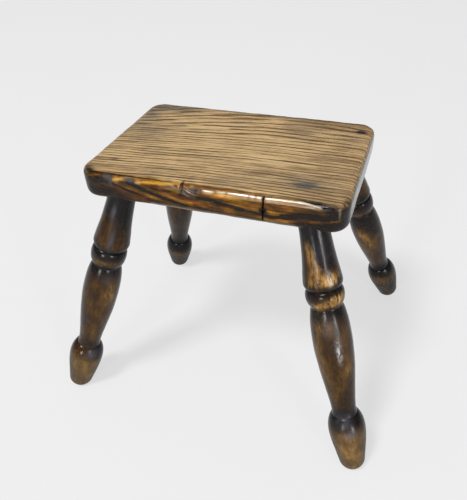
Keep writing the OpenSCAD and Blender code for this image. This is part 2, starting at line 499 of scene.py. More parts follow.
# Lines along the front edge, each as its half width, its strength and its points (x, z)
# A painted reflection of the pale floor along the lower front arris
FLOOR_REFLECTION_LINES = [(1.8, 1.0, [(-62, 286.6), (-10, 286), (40, 286), (98, 286.4)])]
GLOW_LINES = [
    (1.5, 0.75, [(-140, 308.5), (-133, 312), (-122, 313.4), (-115, 313)]),
    (1.8, 0.90, [(-104, 310.5), (-97, 312), (-89, 313.6)]),
    (1.5, 0.85, [(-77, 311.2), (-67, 312.6), (-52, 313.6), (-34, 314)]),
    (1.0, 0.40, [(-132, 300.5), (-120, 303.5), (-108, 302)]),
    (0.9, 0.35, [(-78, 301), (-60, 296.5), (-48, 293)]),
    (0.9, 0.35, [(-48, 302), (-30, 298.5), (-12, 296)]),
    (0.9, 0.45, [(66, 290.4), (76, 289.8), (91, 291)]),
    (1.0, 0.55, [(114, 295.5), (124, 297.2), (142, 300.2)]),
]
FRONT_FIGURE = [
    (1.4, 1.0, [(-112, 308.6), (-106, 306.1), (-97, 302.8), (-87, 299.6), (-78, 297.2)]),
    (1.0, 0.9, [(-78, 297.2), (-69, 294), (-60, 291.4), (-51, 289)]),
    (1.6, 1.0, [(-87, 309.6), (-80, 307.4), (-74, 305.6), (-67, 302.8), (-58, 300.8), (-49, 297.9)]),
    (1.4, 1.0, [(-49, 297.9), (-40, 295.6), (-28, 293.7), (-18, 292.2)]),
    (0.8, 0.7, [(-18, 292.2), (8, 290.5), (40, 289.6), (62, 289.2)]),
    (1.2, 0.8, [(-26, 305), (-16, 304.8), (-6, 304)]),
    (2.0, 1.0, [(-6, 303.8), (5, 303.8), (16, 302), (30, 299.6), (44, 297.6)]),
    (1.4, 0.9, [(44, 297.6), (56, 296.6), (66, 294.6)]),
    (1.9, 1.0, [(66, 294.8), (76, 294.3), (91, 295.6), (100, 298.5)]),
    (1.6, 0.8, [(84, 298.5), (94, 300), (104, 302)]),
    (2.9, 1.0, [(97, 299.5), (104, 301), (112, 301.4), (124, 301.4), (139, 303)]),
    (1.9, 1.0, [(99, 290.5), (112, 291.3), (124, 291.6), (143, 295.3)]),
    (1.8, 0.7, [(-136, 301.6), (-128, 298.9), (-118, 297), (-108, 293.4)]),
    (1.1, 0.6, [(-104, 291.4), (-90, 289), (-76, 287.6)]),
    (2.2, 1.0, [(-141, 313), (-139, 300), (-136, 291)]),
    (0.9, 0.9, [(-128, 315.9), (-112, 315.9), (-106, 314.8), (-95, 315.6), (-78, 315.9)]),
    (0.9, 0.7, [(-60, 307.6), (-48, 306), (-36, 306.4)]),
    (1.0, 0.8, [(-118, 313.5), (-116, 309), (-112, 305)]),
    (1.0, 0.8, [(-146, 307), (-143, 296), (-136, 290), (-120, 288)]),
    (1.2, 0.7, [(126, 312.5), (133, 309), (136, 304)]),
]


def mark_arris_highlight_line(seat, points):
    """Marks the height over the cream line of the top arris, rubbed wear with a painted highlight, and
    where that line shows.
    """
    places, heights = np.array(ARRIS_HIGHLIGHT_LINE).T
    mark(seat, "over_arris_highlight_line", points[:, 2] - np.interp(points[:, 0], places, heights))
    shown = smooth_step(-3, 0, points[:, 0]) * (1 - smooth_step(122, 126, points[:, 0]))
    shown *= 1 - smooth_step(FRONT + 5, FRONT + 8, points[:, 1])
    breaks = [((x, FRONT, 313), (reach, 20, 20), strength) for x, reach, strength in ARRIS_HIGHLIGHT_BREAKS]
    mark(seat, "arris_highlight_line", np.clip(shown - spots(points, breaks), 0, 1))


def mark_seat(seat):
    """Keeps on the seat all the marks that its finish reads."""
    points = points_of(seat)
    mark(seat, "inset", inset_of(points))
    mark(seat, "stain", spots(points, SEAT_STAINS))
    mark(seat, "soot", spots(points, SEAT_SOOT_AND_SHADE))
    mark(seat, "rubbed", spots(points, SEAT_RUBBED))
    mark(seat, "glow", np.maximum(spots(points, EDGE_GLOW), ribbons(points, GLOW_LINES)))
    mark(seat, "figure", ribbons(points, FRONT_FIGURE))
    mark(seat, "torn_patch", np.minimum(spots(points, TORN_PATCH), 1))
    mark_arris_highlight_line(seat, points)
    mark(seat, "floor_reflection_line", ribbons(points, FLOOR_REFLECTION_LINES))


def make_seat():
    """The seat, from the plank to its wear, its holes and its marks."""
    seat = plank_blank()
    wear_plank(seat)
    tear_fibres(seat)
    cut_split(seat)
    cut_splinter_hole(seat)
    cut_nick(seat)
    bore_leg_holes(seat)
    mark_seat(seat)
    take_up(seat)
    bpy.ops.object.shade_smooth_by_angle(angle=math.radians(SEAT_CRISP_ANGLE))
    return seat


# The legs

def curve(a, b, c, d, steps):
    """Points of a cubic curve from a to d, steered by b and c."""
    a, b, c, d = (np.array(p, dtype=float) for p in (a, b, c, d))
    shares = [i / steps for i in range(steps + 1)]
    return [
        (1 - t) ** 3 * a + 3 * t * (1 - t) ** 2 * b + 3 * t * t * (1 - t) * c + t**3 * d
        for t in shares
    ]


def flare_line(start, bead_lower):
    """A cylinder that grows to a trumpet with a rounded lower edge."""
    groove = np.array([UPPER_GROOVE_RADIUS, FLARE_LENGTH + bead_lower])
    wide = np.array([FLARE_RADIUS - 0.1, groove[1] - FLARE_LIP])
    rise = wide[1] - start
    return curve(
        (TOP_RADIUS, start),
        (TOP_RADIUS + 0.5, start + 0.35 * rise),
        wide - (1.8, 0.3 * rise),
        wide,
        20,
    ) + curve(
        wide,
        wide + (0.5, 0.45 * FLARE_LIP),
        (FLARE_RADIUS - 0.8, groove[1] - 0.2 * FLARE_LIP),
        groove,
        9,
    )


def bead_line(bead_lower, bead_shorter):
    """The bead swells between the grooves and rolls under at its lower side."""
    start = FLARE_LENGTH + bead_lower
    low_edge = np.array([LOWER_GROOVE_RADIUS + 0.6, BEAD_END + bead_lower - bead_shorter - 2.5])
    swell = (BEAD_RADIUS - (UPPER_GROOVE_RADIUS + low_edge[0]) / 8) / 0.75
    return curve(
        (UPPER_GROOVE_RADIUS, start + 0.4),
        (swell, start + 2.6),
        (swell, low_edge[1] - 4.5),
        low_edge,
        16,
    )


def vase_line(bead_lower, bead_shorter, foot_lower):
    """The vase shoulders out of the lower groove and thins to the neck."""
    groove = np.array([LOWER_GROOVE_RADIUS, BEAD_END + bead_lower - bead_shorter])
    belly = np.array([BELLY_RADIUS, BEAD_END + bead_lower + BELLY_DROP])
    neck = np.array([NECK_RADIUS, CREASE - NECK_DROP + foot_lower])
    taper = neck[1] - belly[1]
    return curve(
        groove,
        groove + (2, 0.12 * BELLY_DROP),
        belly - (0, 0.55 * BELLY_DROP),
        belly,
        14,
    ) + curve(
        belly,
        belly + (0, 0.41 * taper),
        neck + (0.2, -0.24 * taper),
        neck,
        26,
    )


def foot_line(length, foot_lower):
    """The foot steps out of the neck in a ball and tapers to the worn toe."""
    step = np.array([NECK_RADIUS + 0.7, CREASE + foot_lower])
    ball = np.array([FOOT_RADIUS, CREASE + FOOT_DROP + foot_lower])
    toe = np.array([TOE_RADIUS, length - TOE_WEAR])
    fall = toe[1] - ball[1]
    return (
        curve(
            step,
            step + (3, 0.08 * FOOT_DROP),
            ball - (0, 0.5 * FOOT_DROP),
            ball,
            12,
        )
        + curve(
            ball,
            ball + (0, 0.27 * fall),
            (TOE_RADIUS + 2.7, toe[1] - 0.37 * fall),
            toe,
            12,
        )
        + curve(
            toe,
            (TOE_RADIUS - 1.2, length - 0.45 * TOE_WEAR),
            (TOE_RADIUS - 4.7, length + 0.17 * TOE_WEAR),
            (0.3 * TOE_RADIUS, length + 0.5 * TOE_WEAR),
            8,
        )
        + [(0, length + 0.55 * TOE_WEAR)]
    )


def leg_line(length, start, bead_lower=0, bead_shorter=0, foot_lower=0, slimmer=0):
    """The whole turning as (radius, distance below the underside), without doubled points."""
    top = [
        (0, -TENON_LENGTH),
        (TOP_RADIUS - TENON_CHAMFER, -TENON_LENGTH),
        (TOP_RADIUS, TENON_CHAMFER - TENON_LENGTH),
    ]
    drawn = (
        top
        + flare_line(start, bead_lower)
        + bead_line(bead_lower, bead_shorter)
        + vase_line(bead_lower, bead_shorter, foot_lower)
        + foot_line(length, foot_lower)
    )
    slimmed = [
        (radius * (1 - slimmer * np.clip((drop - start) / (FLARE_LENGTH - start), 0, 1)), drop)
        for radius, drop in drawn
    ]
    return [
        point
        for point, last in zip(slimmed[1:], slimmed)
        if abs(point[0] - last[0]) + abs(point[1] - last[1]) > 0.01
    ]


def turn_leg(leg):
    """Turns one leg: its outline is drawn point by point and spun round the lathe's axis."""
    _, run = leg_axis(leg)
    # The flare starts where the slanting leg has wholly left the seat
    start = TOP_RADIUS * math.hypot(run.x, run.y) / abs(run.z)
    line = leg_line(run.length, start, **TURNED_BY_EYE[leg])
    deselect_all()
    bpy.ops.mesh.primitive_plane_add(size=MM, location=(0, 0, 0))
    piece = named_primitive(leg + "_turning")
    bpy.ops.object.mode_set(mode="EDIT")
    bpy.ops.mesh.select_mode(type="VERT")
    bpy.ops.mesh.select_all(action="SELECT")
    bpy.ops.mesh.merge(type="CENTER")
    last = Vector((0, 0, TENON_LENGTH * MM))
    bpy.ops.transform.translate(value=last)
    for radius, drop in line:
        here = Vector((radius, 0, -drop)) * MM
        bpy.ops.mesh.extrude_vertices_move(TRANSFORM_OT_translate={"value": here - last})
        last = here
    bpy.ops.mesh.select_all(action="SELECT")
    bpy.ops.mesh.spin(steps=TURNING_STEPS, angle=2 * math.pi, center=(0, 0, 0), axis=(0, 0, 1))
    bpy.ops.mesh.select_all(action="SELECT")
    bpy.ops.mesh.remove_doubles(threshold=0.005 * MM)
    bpy.ops.mesh.normals_make_consistent(inside=False)
    bpy.ops.object.mode_set(mode="OBJECT")
    return piece


def wear_leg(piece):
    """Leaves the turning a little out of round below the seat, and dented."""
    points = points_of(piece)
    weigh(piece, "shown", smooth_step(0, 8, -points[:, 2]))
    roughen(piece, "turning_lumps", size=26, depth=0.8, group="shown")
    roughen(piece, "turning_dents", size=6, depth=0.10, group="shown")


# Marks on each leg: bearing round the leg in degrees (0 faces the front, 90 the right), distance
# down from the underside, reach round and along in millimetres, strength. A negative strength of
# the sooty darkening keeps the wood clean there. Some of it is painted shade under the seat
LEG_RUBBED = {
    "front_left": [
        (56, 132, 10, 24, 0.35),
        (20, 265, 16, 20, 0.20),
        (20, 86, 20, 4, 0.30),
    ],
    "front_right": [
        (-12, 26, 5, 14, 0.75),
        (-2, 46, 7, 16, 0.95),
        (10, 57, 14, 5, 0.95),
        (45, 56, 12, 7, 0.90),
        (58, 79, 14, 5, 1.30),
        (22, 83, 9, 3.5, 0.90),
        (-25, 85, 14, 3.5, 0.60),
        (5, 108, 10, 9, 0.45),
        (-36, 140, 6, 34, 0.35),
        (56, 150, 6, 34, 0.30),
        (12, 250, 8, 5, 0.75),
        (20, 270, 20, 20, 0.25),
    ],
    "back_left": [(10, 243, 8, 7, 0.50)],
    "back_right": [(-5, 150, 10, 34, 0.50), (0, 246, 12, 7, 0.50)],
}
LEG_SOOT_AND_SHADE = {
    "front_left": [
        (75, 30, 12, 40, 0.6),
        # Painted shade just under the seat
        (10, 16, 40, 14, 0.45),
        (-5, 228, 22, 16, -0.9),
        (90, 238, 12, 12, 0.5),
        (-60, 150, 10, 60, 0.4),
        (85, 150, 12, 50, 0.4),
        (0, 140, 12, 40, 0.20),
    ],
    "front_right": [
        (14, 16, 6, 10, 1.0),
        (20, 32, 5, 9, 1.0),
        (32, 24, 10, 17, 0.6),
        (62, 28, 14, 26, 0.7),
        (-50, 45, 8, 20, 0.4),
        (15, 128, 5, 8, 0.5),
        (35, 112, 6, 5, 0.5),
        (-2, 178, 6, 24, 0.3),
        (75, 170, 10, 60, 0.4),
    ],
    "back_left": [(30, 180, 60, 60, 0.45), (10, 236, 60, 9, 0.6), (0, 280, 60, 30, 0.85)],
    "back_right": [
        (-10, 126, 18, 9, 0.9),
        (0, 234, 60, 9, 0.6),
        (-40, 285, 14, 20, 0.7),
        (20, 278, 60, 26, 0.65),
        (40, 138, 14, 12, 0.8),
        (70, 150, 10, 40, 0.5),
        (25, 190, 8, 16, 0.4),
        (60, 275, 12, 18, 0.7),
    ],
}
# Where the polish is chipped, where pale scuffs carry a painted highlight, and where dull patches
# carry a painted soft lavender sheen
LEG_CHIPPED = {"front_right": [(30, 136, 4, 14, 0.9), (38, 54, 6, 8, 0.7)]}
# Pale scuffs, each with a painted highlight over it
LEG_SCUFF_HIGHLIGHTS = {"front_right": [(29, 139, 2.4, 11, 0.9), (38, 56, 2.6, 6, 0.9)]}
LEG_BLOOM_SHEEN = {
    "front_right": [
        (5, 232, 9, 8, 0.8),
        (22, 247, 8, 5, 0.9),
        (15, 110, 9, 12, 0.5),
        (29, 130, 5, 14, 0.7),
        (32, 24, 8, 18, 0.2),
    ],
    "front_left": [
        (48, 237, 8, 7, 0.8),
        (45, 110, 8, 8, 0.35),
        (20, 54, 3.5, 16, 0.7),
        (8, 18, 3.5, 9, 0.7),
    ],
}


def marks_round(points, places):
    """Soft-edged marks on a turning that stands on its own axis."""
    bearing = np.arctan2(points[:, 0], -points[:, 1])
    radius = np.hypot(points[:, 0], points[:, 1])
    total = np.zeros(len(points))
    for degrees, drop, reach_round, reach_along, strength in places:
        turn = (bearing - math.radians(degrees) + math.pi) % (2 * math.pi) - math.pi
        away = (turn * radius / reach_round) ** 2 + ((-points[:, 2] - drop) / reach_along) ** 2
        total += strength * np.exp(-away)
    return total


def cut_level(piece):
    """Cuts the toe level with the floor."""
    take_up(piece)
    bpy.ops.object.mode_set(mode="EDIT")
    bpy.ops.mesh.select_mode(type="VERT")
    bpy.ops.mesh.select_all(action="SELECT")
    bpy.ops.mesh.bisect(
        plane_co=(0, 0, 0), plane_no=(0, 0, 1), use_fill=True, clear_inner=True, threshold=0.01 * MM
    )
    bpy.ops.object.mode_set(mode="OBJECT")


def mark_leg(piece, leg):
    """Keeps on the leg its marks and its own place on the lathe, while it still stands there."""
    points = points_of(piece)
    mark(piece, "rubbed", marks_round(points, LEG_RUBBED[leg]))
    mark(piece, "soot", marks_round(points, LEG_SOOT_AND_SHADE[leg]))
    mark(piece, "chipped", marks_round(points, LEG_CHIPPED.get(leg, [])))
    mark(piece, "scuff_highlight", marks_round(points, LEG_SCUFF_HIGHLIGHTS.get(leg, [])))
    mark(piece, "bloom", marks_round(points, LEG_BLOOM_SHEEN.get(leg, [])))
    by_eye = TURNED_BY_EYE[leg]
    bead_lower = by_eye.get("bead_lower", 0) - by_eye.get("bead_shorter", 0) / 2
    mark(piece, "bead_lower", np.full(len(points), bead_lower))
    mark(piece, "foot_lower", np.full(len(points), by_eye.get("foot_lower", 0)))
    own_place = piece.data.attributes.new("turning", "FLOAT_VECTOR", "POINT")
    own_place.data.foreach_set("vector", points.astype(np.float32).ravel())


def make_leg(leg):
    """One leg, turned, worn and marked on the lathe, and then set under the seat."""
    piece = turn_leg(leg)
    wear_leg(piece)
    mark_leg(piece, leg)
    set_on_axis(piece, leg)
    cut_level(piece)
    bpy.ops.object.shade_smooth_by_angle(angle=math.radians(LEG_CRISP_ANGLE))
    return piece


# Finishes

# How each finish shines, as its index of refraction and its specular level
SEAT_WAX = (1.5, 0.16)
LEG_POLISH = (1.28, 0.5)


class Finish:
    """A material's nodes, with a short call for each kind that the finishes share."""

    def __init__(self, name):
        self.material = bpy.data.materials.new(name)
        self.material.use_nodes = True
        self.tree = self.material.node_tree
        self.shader = self.tree.nodes["Principled BSDF"]

    def node(self, kind, inputs=(), **settings):
        """Adds a node with these settings, and feeds its inputs."""
        made = self.tree.nodes.new("ShaderNode" + kind)
        for setting, value in settings.items():
            setattr(made, setting, value)
        for socket, value in dict(inputs).items():
            self.feed(made.inputs[socket], value)
        return made

    def feed(self, socket, value):
        """Links another node's output to the socket, or sets it to a value."""
        if isinstance(value, bpy.types.NodeSocket):
            self.tree.links.new(value, socket)
        else:
            socket.default_value = value

    def maths(self, operation, *values, clamp=False):
        made = self.node("Math", operation=operation, use_clamp=clamp)
        for socket, value in zip(made.inputs, values):
            self.feed(socket, value)
        return made.outputs[0]

    def add(self, *values):
        total = values[0]
        for value in values[1:]:
            total = self.maths("ADD", total, value)
        return total

    def times(self, *values):
        total = values[0]
        for value in values[1:]:
            total = self.maths("MULTIPLY", total, value)
        return total

    def sway(self, value, *amounts):
        """How far a value from 0 to 1 lies off its middle, times the amounts."""
        return self.times(self.add(value, -0.5), *amounts)

    def spread(self, value, low, high, to_low=0.0, to_high=1.0):
        """Leads the stretch from low to high softly over to the one from to_low to to_high."""
        made = self.node("MapRange", interpolation_type="SMOOTHSTEP")
        for socket, number in zip(made.inputs, (value, low, high, to_low, to_high)):
            self.feed(socket, number)
        return made.outputs[0]

    def axes(self, vector):
        return self.node("SeparateXYZ", {0: vector}).outputs

    def place(self, x, y, z):
        return self.node("CombineXYZ", {0: x, 1: y, 2: z}).outputs[0]

    def stretched(self, vector, x, y, z):
        made = self.node("VectorMath", {0: vector, 1: (x, y, z)}, operation="MULTIPLY")
        return made.outputs[0]

    def noise(self, vector, size, detail=2.0, roughness=0.5):
        """Noise from 0 to 1 with features of about size, in the vector's own units."""
        inputs = {"Vector": vector, "Scale": 1 / size, "Detail": detail, "Roughness": roughness}
        return self.node("TexNoise", inputs).outputs[0]

    def mark(self, name):
        """Reads a number that was kept for each vertex."""
        return self.node("Attribute", attribute_name=name).outputs["Fac"]

    def mark_place(self, name):
        """Reads a place that was kept for each vertex."""
        return self.node("Attribute", attribute_name=name).outputs["Vector"]

    def blend(self, share, first, second, mode="MIX"):
        """The first colour with a share of the second over it."""
        made = self.node("Mix", data_type="RGBA", blend_type=mode)
        self.feed(made.inputs[0], share)
        for socket, colour in zip(made.inputs[6:8], (first, second)):
            self.feed(socket, colour if isinstance(colour, bpy.types.NodeSocket) else (*colour, 1))
        return made.outputs[2]

    def ramp(self, value, *stops):
        """A smooth scale from stops of (place, number or colour)."""
        made = self.node("ValToRGB", {0: value})
        scale = made.color_ramp
        while len(scale.elements) < len(stops):
            scale.elements.new(0.5)
        for element, (place, colour) in zip(scale.elements, stops):
            element.position = place
            element.color = (*colour, 1) if isinstance(colour, tuple) else (colour,) * 3 + (1,)
        return made.outputs[0]

    def finish(self, shine, colour, roughness, height, depth):
        """Joins all to the shader. A height of 1 stands out by depth, in millimetres."""
        refraction, specular = shine
        bump = self.node("Bump", {"Height": height, "Distance": depth * MM, "Strength": 1.0})
        self.feed(self.shader.inputs["IOR"], refraction)
        self.feed(self.shader.inputs["Specular IOR Level"], specular)
        self.feed(self.shader.inputs["Base Color"], colour)
        self.feed(self.shader.inputs["Roughness"], roughness)
        self.feed(self.shader.inputs["Normal"], bump.outputs[0])
        return self.material


# Colours of the seat's wood, from its worn top to its dark edges
STRAW = (0.72, 0.505, 0.255)
TAN = (0.43, 0.275, 0.125)
TAN_LINE = (0.135, 0.080, 0.034)
HONEY = (0.46, 0.222, 0.032)
AMBER = (0.205, 0.086, 0.008)
CHESTNUT = (0.056, 0.022, 0.003)
NEAR_BLACK = (0.009, 0.006, 0.005)
OLIVE_TINT = (0.84, 1.04, 0.85)
RED_TINT = (1.12, 0.93, 0.80)
TORN_GREY = (0.130, 0.090, 0.062)
TORN_PALE = (0.48, 0.41, 0.36)
TORN_DARK = (0.022, 0.015, 0.013)
# Grey of the painted floor reflection on the lower arris
FLOOR_REFLECTION_GREY = (0.230, 0.185, 0.145)
# Cream of the rubbed top arris, with a painted highlight
CREAM_WEAR_AND_HIGHLIGHT = (0.98, 0.92, 0.78)
SLATE_STAIN = (0.070, 0.071, 0.076)
DUSTY_BROWN = (0.115, 0.078, 0.048)
# Pale of rubbed wood, also used for the painted sheen below the top arris
PALE_WEAR_AND_SHEEN = (0.62, 0.42, 0.22)
PORE_BROWN = (0.085, 0.052, 0.028)
CLOUD_TAN = (0.33, 0.245, 0.150)
UNDER_LINE = (0.05, 0.035, 0.024)

# How fast the rings sweep down to the right, where along the seat they are lowest, and how many
# rings lie in a millimetre, up the edges and back across the top
RING_SWEEP = 0.0009
LOWEST_X = 75.0
RINGS_UP = 0.105
RINGS_BACK = -0.180
# How far in from the outline the dark rim lies, and how deep the grain is
RIM_INSET = 4.2
PLANK_GRAIN_DEPTH = 0.30


def plank_places(wood):
    """Where a point lies on the plank and in its grain, in millimetres, and how it faces."""
    where = wood.node("TexCoord").outputs["Object"]
    where = wood.stretched(where, 1 / MM, 1 / MM, 1 / MM)
    x, y, z = wood.axes(where)[:3]
    facing = wood.axes(wood.node("NewGeometry").outputs["Normal"])[2]

    # The rings sweep along the edges and more gently across the top
    on_flat = wood.maths("GREATER_THAN", wood.maths("ABSOLUTE", facing), 0.8)
    from_lowest = wood.maths("SUBTRACT", x, LOWEST_X)
    sweep = wood.times(from_lowest, from_lowest, RING_SWEEP)
    y_grain = wood.add(y, wood.times(sweep, on_flat, wood.spread(y, -90.0, 90.0, 0.34, 0.58)))
    z_grain = wood.times(wood.maths("SUBTRACT", z, sweep), wood.maths("SUBTRACT", 1.0, on_flat))
    return SimpleNamespace(
        where=where, x=x, y=y, z=z, from_middle=wood.maths("ABSOLUTE", x),
        inset=wood.mark("inset"), facing=facing, y_grain=y_grain, z_grain=z_grain,
    )


def ring_lines(wood, plank):
    """The dark line of each ring. The rings stand closer together towards the front."""
    back_ease = wood.times(wood.maths("SMOOTH_MAX", wood.add(plank.y, -22.0), 0.0, 24.0), 0.50)
    y_rings = wood.maths("SUBTRACT", plank.y_grain, back_ease)
    drift = wood.maths("MULTIPLY_ADD", wood.noise(plank.soft_fibre, 26.0, 2.0), 1.8, -0.9)
    wobble = wood.maths("MULTIPLY_ADD", wood.noise(plank.soft_fibre, 6.0, 3.0), 0.6, -0.3)
    rings = wood.add(
        wood.times(plank.z_grain, RINGS_UP),
        wood.times(y_rings, RINGS_BACK),
        drift,
        wobble,
        0.53,
    )
    ring = wood.maths("FRACT", rings)
    return wood.ramp(ring, (0.0, 0.2), (0.11, 1.0), (0.26, 0.5), (0.42, 0.08), (0.88, 0.0), (1.0, 0.2))


def plank_grain(wood):
    """The places on the plank, with the fibres, ring lines, pores and clouds of its wood."""
    plank = plank_places(wood)
    fibre = wood.place(wood.times(plank.x, 0.025), plank.y_grain, plank.z_grain)
    plank.soft_fibre = wood.place(wood.times(plank.x, 0.11), plank.y_grain, plank.z_grain)
    plank.fine = wood.noise(fibre, 0.9, 3.0, 0.6)
    plank.streak = wood.noise(fibre, 2.6, 3.0, 0.55)
    broken = wood.spread(wood.noise(fibre, 5.0, 3.0, 0.6), 0.36, 0.60, 0.35, 1.2)
    plank.right_margin = wood.spread(plank.x, 126.0, 144.0)
    fading = wood.maths("MULTIPLY_ADD", plank.right_margin, -0.55, 1.0)
    plank.line = wood.times(ring_lines(wood, plank), broken, fading)
    pores = wood.spread(wood.noise(plank.soft_fibre, 0.8, 1.5, 0.6), 0.55, 0.66)
    plank.pores = wood.times(pores, wood.maths("MULTIPLY_ADD", plank.line, 0.75, 0.3))
    plank.cloud = wood.noise(plank.where, 45.0, 3.0)
    plank.mottle = wood.noise(wood.stretched(plank.where, 0.4, 1, 1), 9.0, 4.0, 0.6)
    plank.border = wood.maths("MULTIPLY_ADD", wood.noise(plank.where, 14.0, 3.0), 7.0, -3.5)
    return plank


def worn_top_share(wood, plank):
    """Where the top is rubbed pale. Its border wanders, and at the ends it reaches the arris."""
    at_ends = wood.spread(plank.from_middle, 120.0, 146.0, 0.0, 5.5)
    inset = wood.add(plank.inset, plank.border, at_ends)
    upward = wood.maths("MULTIPLY_ADD", at_ends, 0.10, plank.facing)
    return wood.times(wood.spread(inset, 3.5, 9.0), wood.spread(upward, 0.72, 0.95))


def worn_top_colour(wood, plank):
    """Straw and tan crossed by dark lines, which are crisper on the left. The right is darker."""
    darker_side = wood.add(
        wood.times(plank.right_margin, 0.12),
        wood.spread(plank.x, 30.0, 125.0, 0.0, 0.27),
        wood.spread(plank.x, -60.0, -140.0, 0.0, 0.10),
        wood.spread(plank.y, -58.0, -92.0, 0.0, 0.14),
        wood.spread(plank.y, 50.0, 92.0, 0.0, 0.36),
        wood.sway(plank.cloud, 0.9),
    )
    crisp = wood.spread(plank.x, 40.0, 120.0, 1.2, 1.0)
    shade = wood.add(
        wood.times(plank.line, crisp, 1.2),
        wood.sway(plank.streak, crisp, 2.4),
        wood.sway(plank.fine, crisp, 2.2),
        darker_side,
        0.01,
    )
    colour = wood.ramp(shade, (0.0, STRAW), (0.42, TAN), (0.95, TAN_LINE))
    colour = wood.blend(wood.times(plank.pores, 0.8), colour, PORE_BROWN)
    return wood.blend(wood.spread(plank.cloud, 0.45, 0.75, 0.0, 0.35), colour, CLOUD_TAN)


def waxed_edge_colour(wood, plank):
    """Broad dark lines in amber, darker at both ends of the seat and near the underside."""
    figure = wood.add(wood.mark("figure"), wood.add(plank.mottle, -0.5))
    figure = wood.spread(wood.add(figure, wood.sway(plank.streak, 0.8)), 0.15, 0.85)
    shade = wood.add(
        wood.times(figure, 0.55),
        wood.times(plank.line, 0.10),
        wood.sway(plank.streak, 0.6),
        wood.sway(plank.mottle, 1.3),
        wood.sway(plank.fine, 0.4),
        wood.times(wood.mark("glow"), -0.75),
        wood.spread(plank.z, UNDERSIDE + 14.0, UNDERSIDE + 3.0, 0.0, 0.16),
        wood.spread(plank.from_middle, 80.0, 130.0, 0.0, 0.44),
        wood.spread(plank.x, -20.0, -90.0, 0.0, 0.12),
        0.44,
    )
    colour = wood.ramp(shade, (0.0, HONEY), (0.22, AMBER), (0.55, CHESTNUT), (0.95, NEAR_BLACK))
    hue = wood.noise(plank.soft_fibre, 7.0, 3.0)
    tint = wood.ramp(hue, (0.38, OLIVE_TINT), (0.62, RED_TINT))
    colour = wood.blend(1.0, colour, tint, "MULTIPLY")
    return wood.blend(wood.times(plank.pores, 0.3), colour, NEAR_BLACK)


def tear_and_reflect_floor(wood, plank, colour):
    """Lays the torn patch's slanting splinters over the edge, and a painted reflection of the pale
    floor along the lower arris.
    """
    slanting = wood.place(
        wood.times(plank.x, 0.14), plank.y, wood.add(plank.z, wood.times(plank.x, 0.45))
    )
    plank.splinters = wood.noise(slanting, 1.5, 3.0, 0.65)
    plank.torn = wood.spread(wood.mark("torn_patch"), 0.15, 0.8, 0.0, 0.9)
    torn_colour = wood.ramp(
        plank.splinters, (0.38, TORN_DARK), (0.58, TORN_GREY), (0.72, TORN_PALE)
    )
    colour = wood.blend(plank.torn, colour, torn_colour)
    # Painted reflection of the pale floor along the lower arris
    patchy = wood.spread(plank.streak, 0.35, 0.6, 0.3, 0.8)
    return wood.blend(wood.times(wood.mark("floor_reflection_line"), patchy), colour, FLOOR_REFLECTION_GREY)


def rub_and_highlight_arris(wood, plank, colour):
    """Lays the cream line of the top arris, rubbed wear with a painted highlight, over the colour, and
    below it a pale band of painted sheen.
    """
    over_line = wood.mark("over_arris_highlight_line")
    under_line = wood.times(over_line, -1.0)
    uneven = wood.add(plank.streak, plank.mottle)
    # Painted sheen: a pale band below the cream line
    sheen = wood.times(
        wood.mark("arris_highlight_line"),
        wood.spread(under_line, -0.6, 0.4),
        wood.spread(under_line, 4.6, 1.2),
        wood.spread(uneven, 0.75, 1.15, 0.20, 0.60),
    )
    # Rubbed cream line with a painted highlight
    cream = wood.times(
        wood.mark("arris_highlight_line"),
        wood.spread(wood.maths("ABSOLUTE", over_line), 0.95, 0.3),
        wood.spread(uneven, 0.80, 1.10, 0.35, 1.0),
        0.9,
    )
    return wood.blend(cream, wood.blend(sheen, colour, PALE_WEAR_AND_SHEEN), CREAM_WEAR_AND_HIGHLIGHT)


def line_rim(wood, plank, colour):
    """Lays a dark line and a golden one over the colour, where the worn top ends at the front."""
    off_rim = wood.maths("MULTIPLY_ADD", plank.border, 0.22, wood.add(plank.inset, -RIM_INSET))
    along_rim = wood.times(
        wood.spread(plank.inset, 0.5, 1.5),
        wood.spread(plank.facing, 0.3, 0.5),
        wood.spread(plank.y, -88.0, -92.0),
        wood.spread(plank.x, -26.0, -50.0),
        wood.spread(plank.streak, 0.30, 0.60, 0.5, 0.95),
    )
    behind_rim = wood.maths("ABSOLUTE", wood.add(off_rim, -2.0))
    golden = wood.times(along_rim, wood.spread(behind_rim, 1.3, 0.4), 0.75)
    dark = wood.times(along_rim, wood.spread(wood.maths("ABSOLUTE", off_rim), 1.1, 0.3))
    return wood.blend(dark, wood.blend(golden, colour, HONEY), NEAR_BLACK)


def wear_and_stain(wood, plank, colour):
    """Lays rubbed spots, the bare underside, stains, sooty marks and painted shade over the colour."""
    rubbed = wood.times(wood.mark("rubbed"), wood.spread(plank.mottle, 0.3, 0.6))
    colour = wood.blend(wood.maths("MINIMUM", rubbed, 0.8), colour, PALE_WEAR_AND_SHEEN)
    plank.below = wood.spread(plank.z, UNDERSIDE + 5.0, UNDERSIDE + 1.0)
    bare = wood.blend(wood.times(plank.line, 0.5), DUSTY_BROWN, UNDER_LINE)
    colour = wood.blend(plank.below, colour, bare)
    patchy = wood.spread(wood.add(plank.mottle, plank.streak), 0.75, 1.15, 0.5, 1.1)
    stain = wood.times(wood.mark("stain"), patchy)
    colour = wood.blend(wood.maths("MINIMUM", stain, 0.85), colour, SLATE_STAIN)
    # Sooty marks, and painted shade inside the nick
    plank.soot = wood.times(wood.mark("soot"), wood.spread(plank.mottle, 0.25, 0.55, 0.5, 1.2))
    return wood.blend(wood.maths("MINIMUM", plank.soot, 0.95), colour, NEAR_BLACK)


